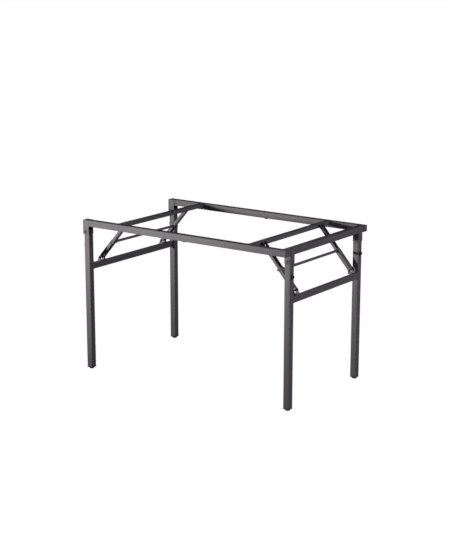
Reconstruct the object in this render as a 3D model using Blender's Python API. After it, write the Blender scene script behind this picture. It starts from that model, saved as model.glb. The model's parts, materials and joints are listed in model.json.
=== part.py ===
"""Folding table frame: a steel top frame on two pairs of legs that fold inwards under it.

Units are metres, +Z is up. X runs along the table, Y across it. The origin is on the floor, under
the middle of the frame. The left pair of legs stands in line with the long rails; the right pair
stands further in, so that it nests between the left pair when both are folded. Each pair is held
upright by two toggle braces that a round cross rod ties together.
"""
import math

import bmesh
import bpy
from mathutils import Matrix, Vector

# Driving dimensions
LENGTH = 1.144                  # over the rail ends, along X
WIDTH = 0.682                   # over the long rails, along Y
HEIGHT = 0.730                  # floor to the top of the rails
TUBE = 0.030                    # square tube of the rails and the legs
WALL = 0.0015                   # tube and sheet wall
CORNER = 0.002                  # outer corner radius of a tube
CROSSBAR_WIDTH = 0.025          # inner crossbar, along X
CROSSBAR_HEIGHT = 0.019
LEG_BAR_DEPTH = 0.016           # leg crossbar, along X
LEG_BAR_TOP = 0.5155
GAP = 0.0003                    # clearance between pieces that touch

# Leg hinges
PIVOT_HEIGHT = 0.674
PIVOT_FROM_FACE = 0.0095        # hinge axis to the leg's outer face
BRACKET_BOTTOM = 0.661
BRACKET_DEPTH = {"left": 0.0357, "right": 0.0318}   # along X
LEFT_LEG_INSET = 0.0059         # rail end to the left legs' outer face
RIGHT_LEG_SETBACK = 0.0416      # rail side to the right legs' outer side
RIVET_RADIUS = 0.004
RIVET_HEAD = (0.0065, 0.0020)   # radius and height of each head
PIN_PLAY = 0.0003               # radial play of every pin and rivet

# Toggle braces, in the plane of a brace: distances are measured inwards and up from the leg hinge
BRACE_Y = 0.2345                # middle of a brace, across the table
FRAME_PIN_IN, FRAME_PIN_UP = 0.1705, 0.046
LEG_PIN_IN, LEG_PIN_UP = 0.0078, -0.140
UPPER_SHARE = 0.56              # the upper link's part of the distance between the two pins
LINK_DEPTH = 0.014
UPPER_LINK_WIDTH = 0.0244
LOWER_LINK_WIDTH = 0.0280
LINK_END_RADIUS = 0.0065
UPPER_EYE_RADIUS = 0.005
UPPER_WEB_START, UPPER_WEB_END = 0.012, 0.004       # the web's distance from the link's two pins
LOWER_WEB_OUT = LINK_DEPTH / 2 + WALL + GAP         # brace's middle line to the web's outer face
LOWER_WEB_END = 0.007           # the lower link's web stops this far short of the lower pin
WEB_CUTBACK = 0.031             # and this far from the middle joint, which drifts as it folds
STOP_REACH = 0.010              # the lower link runs this far past the middle joint
LUG_BACK, LUG_OUT, LUG_RADIUS = 0.0062, 0.0086, 0.0032   # stop lug, from the middle joint
CLEVIS_PLATE = 0.0012
CLEVIS_MARGIN = 0.0015          # a clevis foot stops this far inside the bar it is welded to
LEG_CLEVIS_WALL = 0.002
FACE_TO_FRAME_PIN = 0.007       # inner crossbar's face to the upper brace pin
ROD_RADIUS = 0.0062
COLLAR_LENGTH, COLLAR_STEP = 0.003, 0.0014
UPPER_PIN_RADIUS, UPPER_PIN_HEAD = 0.0025, (0.0058, 0.0036)
LOWER_PIN_RADIUS, LOWER_PIN_HEAD = 0.003, (0.0061, 0.0040)
JOINT_HEAD = (0.0048, 0.0026)   # the rivet head at the middle joint, on the lower link

# Plastic and rubber
FOOT_HEIGHT = 0.0097
GLIDE_HEIGHT = 0.007
GLIDE_RADIUS = 0.012
GLIDE_CHAMFER = 0.0015
FLANGE_LIP = 0.0008             # the foot's flange stands this far outside the tube
PLUG_LENGTH = 0.020
LEG_BUMPER_HEIGHT = 0.605
LEG_BUMPER = (0.0070, 0.0085, 0.0098, 0.0032)       # button radius, height, base radius, base height
RAIL_BUMPER_X = 0.019
RAIL_BUMPER_DROP = 0.0052

ROUND = 16                      # sides of a rod or a glide
SMALL_ROUND = 12                # sides of a pin, a hole, a link's end or a bumper
STEEL = ((0.115, 0.113, 0.118), 0.5, 0.0)
BLACK_PLASTIC = ((0.012, 0.012, 0.013), 0.45, 0.0)
RUBBER = ((0.010, 0.010, 0.010), 0.8, 0.0)
DARK_ZINC = ((0.030, 0.030, 0.032), 0.35, 0.9)

SIDES = {"front": -1, "back": 1}
ENDS = {"left": -1, "right": 1}

RAIL_BOTTOM = HEIGHT - TUBE
HALF_LENGTH = LENGTH / 2
HALF_WIDTH = WIDTH / 2
RAIL_INNER = HALF_WIDTH - TUBE
WEB_INNER = HALF_LENGTH - WALL

LEG_FACE = {"left": HALF_LENGTH - LEFT_LEG_INSET, "right": WEB_INNER - GAP}
LEG_SIDE = {"left": HALF_WIDTH - WALL - GAP, "right": HALF_WIDTH - RIGHT_LEG_SETBACK}
PIVOT_X = {end: ENDS[end] * (LEG_FACE[end] - PIVOT_FROM_FACE) for end in ENDS}


def clear_scene():
    for thing in list(bpy.data.objects):
        bpy.data.objects.remove(thing, do_unlink=True)


def finish_material(name, look):
    colour, roughness, metallic = look
    material = bpy.data.materials.new(name + "_finish")
    material.use_nodes = True
    shader = material.node_tree.nodes["Principled BSDF"]
    shader.inputs["Base Color"].default_value = (*colour, 1)
    shader.inputs["Roughness"].default_value = roughness
    shader.inputs["Metallic"].default_value = metallic
    material.diffuse_color = (*colour, 1)
    return material


def make_piece(name, mesh, look, parent=None, smooth=False):
    """Turn world-space geometry into an object whose origin is its parent's, or the world's."""
    if parent:
        bmesh.ops.translate(mesh, vec=-parent.location, verts=mesh.verts)
    bmesh.ops.recalc_face_normals(mesh, faces=mesh.faces)
    data = bpy.data.meshes.new(name)
    mesh.to_mesh(data)
    mesh.free()
    if smooth:
        data.shade_smooth()
        data.set_sharp_from_angle(angle=math.radians(35))
    data.materials.append(finish_material(name, look))
    piece = bpy.data.objects.new(name, data)
    piece.parent = parent
    bpy.context.collection.objects.link(piece)
    return piece


def combine(piece, shape, operation):
    """Cut a shape out of a piece, or join it on; the shape is geometry or an object, kept hidden."""
    if isinstance(shape, bmesh.types.BMesh):
        shape = make_piece(f"{piece.name}_{operation.lower()}", shape, STEEL, piece.parent)
    shape.display_type = "WIRE"
    shape.hide_render = True
    modifier = piece.modifiers.new(operation.title(), "BOOLEAN")
    modifier.operation = operation
    modifier.solver = "EXACT"
    modifier.object = shape


def axis_at(name, x, y, z):
    axis = bpy.data.objects.new(name, None)
    axis.location = (x, y, z)
    axis.empty_display_size = 0.05
    bpy.context.collection.objects.link(axis)
    return axis


def box(low, high):
    mesh = bmesh.new()
    bmesh.ops.create_cube(mesh, size=1)
    low, high = Vector(low), Vector(high)
    sizes = [max(a, b) - min(a, b) for a, b in zip(low, high)]
    bmesh.ops.scale(mesh, vec=sizes, verts=mesh.verts)
    bmesh.ops.translate(mesh, vec=(low + high) / 2, verts=mesh.verts)
    return mesh


def rounded_box(low, high, along, radius, segments=2):
    """A box whose edges along one axis (0, 1 or 2) are rounded."""
    mesh = box(low, high)
    edges = [edge for edge in mesh.edges
             if abs((edge.verts[0].co - edge.verts[1].co).normalized()[along]) > 0.99]
    bmesh.ops.bevel(mesh, geom=edges, offset=radius, segments=segments, profile=0.5, affect="EDGES")
    return mesh


def tube_mesh(low, high, along):
    """A square tube, open at both ends, from an outer and an inner box with rounded corners."""
    across = [axis for axis in range(3) if axis != along]
    mesh = bmesh.new()
    rings = []
    for shrink, radius in ((0, CORNER), (WALL, CORNER - WALL)):
        corners = [(1, 1), (-1, 1), (-1, -1), (1, -1)]
        profile = []
        for index, (sign_a, sign_b) in enumerate(corners):
            for step in range(3):
                angle = math.radians(90 * index + 45 * step)
                half = [(abs(high[axis] - low[axis])) / 2 - shrink - radius for axis in across]
                profile.append((sign_a * half[0] + radius * math.cos(angle),
                                sign_b * half[1] + radius * math.sin(angle)))
        for end in (low[along], high[along]):
            ring = []
            for offset_a, offset_b in profile:
                point = [0, 0, 0]
                point[along] = end
                point[across[0]] = (low[across[0]] + high[across[0]]) / 2 + offset_a
                point[across[1]] = (low[across[1]] + high[across[1]]) / 2 + offset_b
                ring.append(mesh.verts.new(point))
            rings.append(ring)
    outer_low, outer_high, inner_low, inner_high = rings
    pairs = ((outer_low, outer_high), (outer_high, inner_high),
             (inner_high, inner_low), (inner_low, outer_low))
    for first, second in pairs:
        for index in range(len(first)):
            after = (index + 1) % len(first)
            mesh.faces.new((first[index], first[after], second[after], second[index]))
    return mesh


def hull_prism(outline, y_low, y_high):
    """The convex outline of (x, z) points, carried from one Y to another."""
    mesh = bmesh.new()
    for x, z in outline:
        for y in (y_low, y_high):
            mesh.verts.new((x, y, z))
    result = bmesh.ops.convex_hull(mesh, input=mesh.verts)
    inside = [item for item in result["geom_interior"] if isinstance(item, bmesh.types.BMVert)]
    bmesh.ops.delete(mesh, geom=inside, context="VERTS")
    bmesh.ops.dissolve_limit(mesh, angle_limit=math.radians(1), verts=mesh.verts, edges=mesh.edges)
    return mesh


def circle_points(centre, radius, count=SMALL_ROUND):
    turns = [2 * math.pi * index / count for index in range(count)]
    return [(centre[0] + radius * math.cos(turn), centre[1] + radius * math.sin(turn))
            for turn in turns]


def turned(profile, centre, direction, sides=SMALL_ROUND):
    """Turn (radius, distance) points about an axis; the first and last points are on the axis."""
    mesh = bmesh.new()
    rings = []
    for radius, distance in profile:
        if radius == 0:
            rings.append([mesh.verts.new((0, 0, distance))])
            continue
        turns = [2 * math.pi * index / sides for index in range(sides)]
        rings.append([mesh.verts.new((radius * math.cos(turn), radius * math.sin(turn), distance))
                      for turn in turns])
    for first, second in zip(rings, rings[1:]):
        for index in range(sides):
            after = (index + 1) % sides
            corners = [first[index % len(first)], first[after % len(first)],
                       second[after % len(second)], second[index % len(second)]]
            mesh.faces.new(list(dict.fromkeys(corners)))
    turn = Vector((0, 0, 1)).rotation_difference(Vector(direction)).to_matrix().to_4x4()
    bmesh.ops.transform(mesh, matrix=Matrix.Translation(centre) @ turn, verts=mesh.verts)
    return mesh


def round_bar(centre, radius, y_low, y_high, sides=SMALL_ROUND):
    """A plain cylinder along Y through an (x, z) centre."""
    profile = [(0, y_low), (radius, y_low), (radius, y_high), (0, y_high)]
    return turned(profile, (centre[0], 0, centre[1]), (0, 1, 0), sides)


def headed_pin(shank, head_size, y_low, y_high):
    """Profile of a pin along Y whose two rounded heads lie outside y_low and y_high."""
    head, head_height = head_size
    crown = head * 0.72
    return [(0, y_low - head_height), (crown, y_low - head_height),
            (head, y_low - head_height * 0.45), (head, y_low), (shank, y_low),
            (shank, y_high), (head, y_high), (head, y_high + head_height * 0.45),
            (crown, y_high + head_height), (0, y_high + head_height)]


def dome(radius, height, base_radius=None, base_height=0):
    """Profile of a rubber bumper: an optional wide base and a rounded button."""
    button = height - base_height
    profile = [(0, 0)]
    if base_radius:
        profile += [(base_radius, 0), (base_radius, base_height * 0.7),
                    (base_radius - base_height * 0.3, base_height), (radius, base_height)]
    else:
        profile.append((radius, 0))
    profile += [(radius, base_height + button * 0.45), (radius * 0.86, base_height + button * 0.82),
                (radius * 0.55, height), (0, height)]
    return profile


# The top frame

def rails():
    for side, sign in SIDES.items():
        inner, outer = sorted((sign * RAIL_INNER, sign * HALF_WIDTH))
        start = -HALF_LENGTH + BRACKET_DEPTH["left"] + GAP
        mesh = tube_mesh((start, inner, RAIL_BOTTOM), (WEB_INNER - GAP, outer, HEIGHT), 0)
        make_piece(f"{side}_rail", mesh, STEEL)

        middle = sign * (RAIL_INNER + TUBE / 2)
        half = TUBE / 2 - 0.0004
        plug_half = TUBE / 2 - WALL - GAP
        centre_z = HEIGHT - TUBE / 2
        cap = make_piece(f"{side}_rail_cap", rounded_box(
            (WEB_INNER, middle - half, centre_z - half),
            (HALF_LENGTH, middle + half, centre_z + half), 0, CORNER), STEEL)
        combine(cap, rounded_box(
            (WEB_INNER - 0.012, middle - plug_half, centre_z - plug_half),
            (WEB_INNER + WALL / 2, middle + plug_half, centre_z + plug_half), 0, 0.001, 1),
            "UNION")

        profile = dome(0.008, RAIL_BUMPER_DROP - GAP)
        bumper = turned(profile, (RAIL_BUMPER_X, middle, RAIL_BOTTOM - GAP), (0, 0, -1))
        make_piece(f"{side}_rail_bumper", bumper, RUBBER, smooth=True)

    reach = RAIL_INNER - GAP
    end_face = WEB_INNER - GAP
    mesh = tube_mesh((end_face - TUBE, -reach, RAIL_BOTTOM), (end_face, reach, HEIGHT), 1)
    make_piece("end_rail", mesh, STEEL)


def frame_pin(end):
    """The upper brace pin of one end, as (x, z)."""
    return PIVOT_X[end] - ENDS[end] * FRAME_PIN_IN, PIVOT_HEIGHT + FRAME_PIN_UP


def leg_pin(end):
    """The lower brace pin of one end, as (x, z)."""
    return PIVOT_X[end] - ENDS[end] * LEG_PIN_IN, PIVOT_HEIGHT + LEG_PIN_UP


def inner_crossbar(end, sign):
    face = frame_pin(end)[0] - sign * FACE_TO_FRAME_PIN
    x_low, x_high = sorted((face, face - sign * CROSSBAR_WIDTH))
    reach = RAIL_INNER - GAP
    mesh = tube_mesh((x_low, -reach, HEIGHT - CROSSBAR_HEIGHT), (x_high, reach, HEIGHT), 1)
    make_piece(f"{end}_inner_crossbar", mesh, STEEL)


def frame_clevis(end, end_sign, side, side_sign):
    """The sheet clevis on the inner crossbar's face, and the bolt through it."""
    pin = frame_pin(end)
    face = pin[0] - end_sign * (FACE_TO_FRAME_PIN - GAP)
    middle = side_sign * BRACE_Y
    inside = UPPER_LINK_WIDTH / 2 + GAP
    outside = inside + WALL
    foot = [(face, HEIGHT - CROSSBAR_HEIGHT + CLEVIS_MARGIN), (face, HEIGHT - CLEVIS_MARGIN)]
    outline = foot + circle_points(pin, UPPER_EYE_RADIUS + 0.0005)
    clevis = make_piece(f"{end}_{side}_clevis",
                        hull_prism(outline, middle - outside, middle + outside), STEEL)
    plate_face = face + end_sign * CLEVIS_PLATE
    far_x = pin[0] + end_sign * 0.02
    slot_low, slot_high = sorted((plate_face, far_x))
    combine(clevis, box((slot_low, middle - inside, HEIGHT - 0.04),
                        (slot_high, middle + inside, HEIGHT + 0.01)), "DIFFERENCE")
    hole = round_bar(pin, UPPER_PIN_RADIUS + PIN_PLAY, middle - 0.03, middle + 0.03)
    combine(clevis, hole, "DIFFERENCE")

    profile = headed_pin(UPPER_PIN_RADIUS, UPPER_PIN_HEAD, -outside - GAP, outside + GAP)
    bolt = turned(profile, (pin[0], middle, pin[1]), (0, 1, 0))
    make_piece(f"{end}_{side}_clevis_bolt", bolt, DARK_ZINC, smooth=True)


def leg_bracket(end, end_sign, side, side_sign):
    """The channel that holds a leg's top, and the rivet that the leg turns on."""
    leg_outer = LEG_SIDE[end]
    y_low, y_high = sorted((side_sign * (leg_outer + GAP + WALL),
                            side_sign * (leg_outer - TUBE - GAP - WALL)))
    x_web, x_open = end_sign * HALF_LENGTH, end_sign * (HALF_LENGTH - BRACKET_DEPTH[end])
    x_low, x_high = sorted((x_web, x_open))
    bracket = make_piece(f"{end}_{side}_bracket", box(
        (x_low, y_low, BRACKET_BOTTOM), (x_high, y_high, HEIGHT)), STEEL)
    channel_x = sorted((end_sign * WEB_INNER, end_sign * (HALF_LENGTH - 2 * BRACKET_DEPTH[end])))
    channel_top = HEIGHT - WALL if end == "left" else RAIL_BOTTOM + 0.001
    combine(bracket, box((channel_x[0], y_low + WALL, BRACKET_BOTTOM - 0.01),
                         (channel_x[1], y_high - WALL, channel_top)), "DIFFERENCE")
    if end == "right":
        combine(bracket, box((channel_x[0], y_low - 0.01, RAIL_BOTTOM - GAP),
                             (channel_x[1], y_high + 0.01, HEIGHT + 0.01)), "DIFFERENCE")
    pivot = (PIVOT_X[end], PIVOT_HEIGHT)
    combine(bracket, round_bar(pivot, RIVET_RADIUS + PIN_PLAY, y_low - 0.01, y_high + 0.01),
            "DIFFERENCE")
    middle = (y_low + y_high) / 2
    half = (y_high - y_low) / 2 + GAP
    profile = headed_pin(RIVET_RADIUS, RIVET_HEAD, -half, half)
    rivet = turned(profile, (pivot[0], middle, pivot[1]), (0, 1, 0))
    make_piece(f"{end}_{side}_rivet", rivet, STEEL, smooth=True)


# The folding legs

def leg(end, end_sign, side, side_sign, axis):
    face = end_sign * LEG_FACE[end]
    x_low, x_high = sorted((face, face - end_sign * TUBE))
    y_low, y_high = sorted((side_sign * LEG_SIDE[end], side_sign * (LEG_SIDE[end] - TUBE)))
    top = PIVOT_HEIGHT + PIVOT_FROM_FACE
    piece = make_piece(f"{end}_{side}_leg", tube_mesh(
        (x_low, y_low, FOOT_HEIGHT + GAP), (x_high, y_high, top), 2), STEEL, axis)

    pivot = (PIVOT_X[end], PIVOT_HEIGHT)
    combine(piece, round_bar(pivot, RIVET_RADIUS + PIN_PLAY, y_low - 0.01, y_high + 0.01),
            "DIFFERENCE")
    corner = make_piece(f"{end}_{side}_leg_corner", box(
        (pivot[0], y_low - 0.01, PIVOT_HEIGHT),
        (pivot[0] + end_sign * 0.02, y_high + 0.01, top + 0.01)), STEEL, axis)
    combine(corner, round_bar(pivot, PIVOT_FROM_FACE, y_low - 0.02, y_high + 0.02, 24),
            "DIFFERENCE")
    combine(piece, corner, "DIFFERENCE")

    centre = ((x_low + x_high) / 2, (y_low + y_high) / 2)
    foot_piece(end, side, centre, axis)
    bumper = turned(dome(*LEG_BUMPER), (face + end_sign * GAP, centre[1], LEG_BUMPER_HEIGHT),
                    (end_sign, 0, 0))
    make_piece(f"{end}_{side}_leg_bumper", bumper, RUBBER, axis, smooth=True)


def foot_piece(end, side, centre, axis):
    """A plug that fills the tube's end, with a flange and a round glide under it."""
    x, y = centre
    profile = [(0, 0), (GLIDE_RADIUS - GLIDE_CHAMFER, 0), (GLIDE_RADIUS, GLIDE_CHAMFER),
               (GLIDE_RADIUS, GLIDE_HEIGHT + 0.001), (0, GLIDE_HEIGHT + 0.001)]
    foot = make_piece(f"{end}_{side}_foot", turned(profile, (x, y, 0), (0, 0, 1), ROUND),
                      BLACK_PLASTIC, axis)
    flange = TUBE / 2 + FLANGE_LIP
    plug = TUBE / 2 - WALL - GAP
    combine(foot, rounded_box((x - flange, y - flange, GLIDE_HEIGHT),
                              (x + flange, y + flange, FOOT_HEIGHT), 2, CORNER), "UNION")
    combine(foot, rounded_box((x - plug, y - plug, FOOT_HEIGHT - 0.001),
                              (x + plug, y + plug, FOOT_HEIGHT + PLUG_LENGTH), 2, 0.001, 1),
            "UNION")


def leg_crossbar(end, end_sign, axis):
    """The bar between two legs, with the two lower clevises welded to its top."""
    face = end_sign * LEG_FACE[end]
    x_low, x_high = sorted((face, face - end_sign * LEG_BAR_DEPTH))
    reach = LEG_SIDE[end] - TUBE - GAP
    bar = make_piece(f"{end}_leg_crossbar", tube_mesh(
        (x_low, -reach, LEG_BAR_TOP - TUBE), (x_high, reach, LEG_BAR_TOP), 1), STEEL, axis)
    pin = leg_pin(end)
    inside = LOWER_LINK_WIDTH / 2 + GAP
    outside = inside + LEG_CLEVIS_WALL
    for side, side_sign in SIDES.items():
        middle = side_sign * BRACE_Y
        foot_z = LEG_BAR_TOP - WALL / 2
        outline = [(x_low + CLEVIS_MARGIN, foot_z), (x_high - CLEVIS_MARGIN, foot_z)]
        outline += circle_points(pin, LINK_END_RADIUS)
        clevis = make_piece(f"{end}_{side}_leg_clevis",
                            hull_prism(outline, middle - outside, middle + outside), STEEL, axis)
        combine(clevis, box((x_low - 0.02, middle - inside, LEG_BAR_TOP + WALL),
                            (x_high + 0.02, middle + inside, LEG_BAR_TOP + 0.05)), "DIFFERENCE")
        combine(clevis, round_bar(pin, LOWER_PIN_RADIUS + PIN_PLAY, middle - 0.03, middle + 0.03),
                "DIFFERENCE")
        combine(bar, clevis, "UNION")

        profile = headed_pin(LOWER_PIN_RADIUS, LOWER_PIN_HEAD, -outside - GAP, outside + GAP)
        bolt = turned(profile, (pin[0], middle, pin[1]), (0, 1, 0))
        make_piece(f"{end}_{side}_brace_bolt", bolt, DARK_ZINC, axis, smooth=True)


# The toggle braces

class BracePlane:
    """Places points of one end's brace, which is straight when the legs stand."""

    def __init__(self, end, end_sign):
        self.top, self.bottom = Vector(frame_pin(end)), Vector(leg_pin(end))
        self.span = (self.bottom - self.top).length
        self.down = (self.bottom - self.top).normalized()
        self.out = Vector((-self.down.y, self.down.x)) * end_sign
        self.upper_length = self.span * UPPER_SHARE
        self.joint = self.at(self.upper_length, 0)

    def at(self, along, outwards):
        """The (x, z) point a distance down the brace and out towards the corner."""
        point = self.top + along * self.down + outwards * self.out
        return point.x, point.y


def flange_outline(plane, eyes, corners):
    """Rounded ends about (distance, radius) eyes and square corners: (distance, out) points."""
    outline = [plane.at(along, out) for along, out in corners]
    for along, radius in eyes:
        outline += circle_points(plane.at(along, 0), radius)
    return outline


def clear_between_flanges(link, plane, middle, width, spans):
    """Remove what lies between the flanges, over spans of (low, high, out_low, out_high)."""
    half = width / 2 - WALL
    for low, high, out_low, out_high in spans:
        space = [plane.at(along, out) for along in (low, high) for out in (out_low, out_high)]
        combine(link, hull_prism(space, middle - half, middle + half), "DIFFERENCE")


def drill(link, holes, middle):
    for centre, radius in holes:
        combine(link, round_bar(centre, radius + PIN_PLAY, middle - 0.03, middle + 0.03),
                "DIFFERENCE")


def upper_link(end, side, side_sign, plane, axis):
    """The upper channel: narrow, with its web on the inner, lower side."""
    middle = side_sign * BRACE_Y
    half = UPPER_LINK_WIDTH / 2
    deep = LINK_DEPTH / 2
    length = plane.upper_length
    outline = flange_outline(
        plane, ((0, UPPER_EYE_RADIUS), (length, LINK_END_RADIUS)),
        [(along, out) for along in (0.014, length - 0.008) for out in (-deep, deep)])
    link = make_piece(f"{end}_{side}_upper_link",
                      hull_prism(outline, middle - half, middle + half), STEEL, axis)
    clear_between_flanges(link, plane, middle, UPPER_LINK_WIDTH, (
        (-0.02, length + 0.02, WALL - deep, deep + 0.01),
        (-0.02, UPPER_WEB_START, -0.02, 0.02),
        (length - UPPER_WEB_END, length + 0.02, -0.02, 0.02)))
    drill(link, ((plane.top, UPPER_PIN_RADIUS), (plane.joint, LOWER_PIN_RADIUS)), middle)


def lower_link(end, side, side_sign, plane, axis):
    """The lower channel: wider than the upper one, with its web on the outer, upper side.

    Its flanges run past the middle joint, with a lug on each. The real web runs on to their ends
    and rests on the upper link's edges; here it is cut back, so that the links stay clear of each
    other while they fold.
    """
    middle = side_sign * BRACE_Y
    half = LOWER_LINK_WIDTH / 2
    deep = LINK_DEPTH / 2
    joint_at, end_at = plane.upper_length, plane.span
    outline = flange_outline(
        plane, ((end_at, LINK_END_RADIUS),),
        [(along, out) for along in (joint_at - STOP_REACH, end_at - 0.010)
         for out in (-deep, LOWER_WEB_OUT)])
    link = make_piece(f"{end}_{side}_lower_link",
                      hull_prism(outline, middle - half, middle + half), STEEL, axis)
    lug = circle_points(plane.at(joint_at - LUG_BACK, -LUG_OUT), LUG_RADIUS)
    lug += circle_points(plane.at(joint_at - LUG_BACK, 0), LUG_RADIUS + 0.0005)
    combine(link, hull_prism(lug, middle - half + GAP / 2, middle + half - GAP / 2), "UNION")
    clear_between_flanges(link, plane, middle, LOWER_LINK_WIDTH, (
        (joint_at - 0.03, end_at + 0.02, -0.03, LOWER_WEB_OUT - WALL),
        (joint_at - 0.03, joint_at + WEB_CUTBACK, -0.03, 0.03),
        (end_at - LOWER_WEB_END, end_at + 0.02, -0.02, 0.02)))
    drill(link, ((plane.bottom, LOWER_PIN_RADIUS),), middle)
    outer_face = middle + side_sign * (half - WALL / 2)
    radius, height = JOINT_HEAD
    head = [(0, 0), (radius, 0), (radius, height * 0.6), (radius * 0.7, height), (0, height)]
    head = turned(head, (plane.joint[0], outer_face, plane.joint[1]), (0, side_sign, 0))
    combine(link, head, "UNION")


def cross_rod(end, plane, axis):
    """The round rod that ties the two braces of one end together at their middle joints."""
    reach = BRACE_Y - LOWER_LINK_WIDTH / 2 - GAP
    collar = ROD_RADIUS + COLLAR_STEP
    step = reach - COLLAR_LENGTH
    profile = [(0, -reach), (collar, -reach), (collar, -step), (ROD_RADIUS, -step),
               (ROD_RADIUS, step), (collar, step), (collar, reach), (0, reach)]
    rod = turned(profile, (plane.joint[0], 0, plane.joint[1]), (0, 1, 0), ROUND)
    make_piece(f"{end}_cross_rod", rod, STEEL, axis, smooth=True)


def build():
    clear_scene()
    rails()
    for end, end_sign in ENDS.items():
        inner_crossbar(end, end_sign)
        plane = BracePlane(end, end_sign)
        fold = axis_at(f"{end}_fold_axis", PIVOT_X[end], 0, PIVOT_HEIGHT)
        upper = axis_at(f"{end}_upper_link_axis", plane.top.x, 0, plane.top.y)
        lower = axis_at(f"{end}_lower_link_axis", plane.bottom.x, 0, plane.bottom.y)
        leg_crossbar(end, end_sign, fold)
        cross_rod(end, plane, lower)
        for side, side_sign in SIDES.items():
            leg_bracket(end, end_sign, side, side_sign)
            frame_clevis(end, end_sign, side, side_sign)
            leg(end, end_sign, side, side_sign, fold)
            upper_link(end, side, side_sign, plane, upper)
            lower_link(end, side, side_sign, plane, lower)


build()
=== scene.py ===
"""Folding table frame in satin grey powder coat: tubes, pressed channels, bolts, rubber and welds.

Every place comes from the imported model: node boxes, hinge positions and the sizes below.
Units are metres. A brace is an upper and a lower pressed channel, straight when the legs stand.
"""
import json
import math

import bmesh
import bpy
from mathutils import Matrix, Vector


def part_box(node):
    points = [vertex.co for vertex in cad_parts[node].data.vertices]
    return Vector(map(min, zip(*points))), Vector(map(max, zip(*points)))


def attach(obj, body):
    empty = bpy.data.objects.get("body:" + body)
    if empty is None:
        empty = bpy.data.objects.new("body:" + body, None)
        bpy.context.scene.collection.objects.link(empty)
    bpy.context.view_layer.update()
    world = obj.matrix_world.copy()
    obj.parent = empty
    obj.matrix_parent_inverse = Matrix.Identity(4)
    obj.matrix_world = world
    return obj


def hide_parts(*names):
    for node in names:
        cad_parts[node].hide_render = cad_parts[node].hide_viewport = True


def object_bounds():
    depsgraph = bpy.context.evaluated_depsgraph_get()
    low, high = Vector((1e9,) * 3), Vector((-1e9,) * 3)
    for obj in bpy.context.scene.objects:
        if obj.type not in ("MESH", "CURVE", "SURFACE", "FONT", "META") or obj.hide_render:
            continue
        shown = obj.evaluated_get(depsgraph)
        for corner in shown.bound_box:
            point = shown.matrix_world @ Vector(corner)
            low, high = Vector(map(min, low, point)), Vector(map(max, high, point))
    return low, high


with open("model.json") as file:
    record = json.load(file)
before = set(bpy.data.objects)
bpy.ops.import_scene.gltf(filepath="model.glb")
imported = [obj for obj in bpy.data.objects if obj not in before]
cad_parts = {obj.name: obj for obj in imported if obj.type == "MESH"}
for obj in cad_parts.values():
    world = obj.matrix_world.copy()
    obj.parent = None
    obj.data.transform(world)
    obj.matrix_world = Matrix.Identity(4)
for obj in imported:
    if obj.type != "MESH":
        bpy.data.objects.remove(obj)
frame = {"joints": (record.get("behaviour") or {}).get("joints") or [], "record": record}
cad_low, cad_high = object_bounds()

ENDS = {"left": -1, "right": 1}
SIDES = {"front": -1, "back": 1}
BODY = {node: body for body, nodes in frame["record"]["behaviour"]["bodies"].items() for node in nodes}
HINGE = {joint["name"]: Vector(joint["pos_m"]) for joint in frame["joints"]}

WALL = 0.0015                   # tube and sheet wall
TUBE_CORNER = 0.0022            # outer corner radius of the square tube
EDGE = 0.00025                  # broken edge of cut sheet and tube
LINK_DEPTH = 0.014
UPPER_WIDTH = 0.0244
LOWER_WIDTH = 0.0280
EYE = 0.0065                    # radius of a brace's rounded end
SMALL_EYE = 0.005               # and of the upper end, which fits in the small clevis
EYE_CORNER = 0.0063             # flange corners beside a pin, nearly a half round
BEND = 0.0022                   # outer bend radius of the braces' and brackets' sheet
CLEAR = 0.0003                  # play between pieces that slide on each other
LOWER_DEPTH = LINK_DEPTH + WALL + CLEAR     # the lower channel's web lies over the upper one's edges
PAST_JOINT = 0.010              # the lower channel runs this far past the middle joint
LEG_TOP_RADIUS = 0.0095
BAR_DEPTH, BAR_TOP = 0.016, 0.5155          # leg crossbar: along X, and the height of its top
EARS_HALF = LOWER_WIDTH / 2 + CLEAR + 0.002     # middle of the crossbar's ears to their outer faces
ROD = 0.0062                    # radius of the tie rod
SHANK = 0.0028                  # and of the brace bolts
UP = Vector((0, 0, 1))


# Modelling tools: each works on the active piece

def rest():
    """Object mode with nothing selected."""
    if bpy.context.object and bpy.context.object.mode != "OBJECT":
        bpy.ops.object.mode_set(mode="OBJECT")
    bpy.ops.object.select_all(action="DESELECT")


def name_it(name):
    """Names the piece just added, and moves its place into its mesh."""
    piece = bpy.context.object
    piece.name = piece.data.name = name
    bpy.ops.object.transform_apply(location=True, rotation=True, scale=True)
    return piece


def block(name, low, high):
    rest()
    low, high = Vector(low), Vector(high)
    bpy.ops.mesh.primitive_cube_add(size=1, location=(low + high) / 2, scale=high - low)
    return name_it(name)


def pick(kind, test):
    """Selects only the faces, edges or vertices that pass a test."""
    bpy.ops.object.mode_set(mode="EDIT")
    bpy.ops.mesh.select_mode(type=kind)
    bpy.ops.mesh.select_all(action="DESELECT")
    mesh = bmesh.from_edit_mesh(bpy.context.object.data)
    mesh.normal_update()
    chosen = [part for part in {"VERT": mesh.verts, "EDGE": mesh.edges, "FACE": mesh.faces}[kind]
              if test(part)]
    for part in chosen:
        part.select_set(True)
    mesh.select_flush_mode()
    bmesh.update_edit_mesh(bpy.context.object.data)
    return len(chosen)


def runs_along(edge, axis):
    """Whether an edge runs along X, Y or Z, given as 0, 1 or 2."""
    first, second = (vertex.co for vertex in edge.verts)
    return abs((second - first).normalized()[axis]) > 0.99


def middle_of(edge):
    return (edge.verts[0].co + edge.verts[1].co) / 2


def apply(kind, **settings):
    """Adds a modifier and applies it."""
    bpy.ops.object.mode_set(mode="OBJECT")
    modifier = bpy.context.object.modifiers.new(kind.title(), kind)
    for key, value in settings.items():
        setattr(modifier, key, value)
    bpy.ops.object.modifier_apply(modifier=modifier.name)


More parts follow.
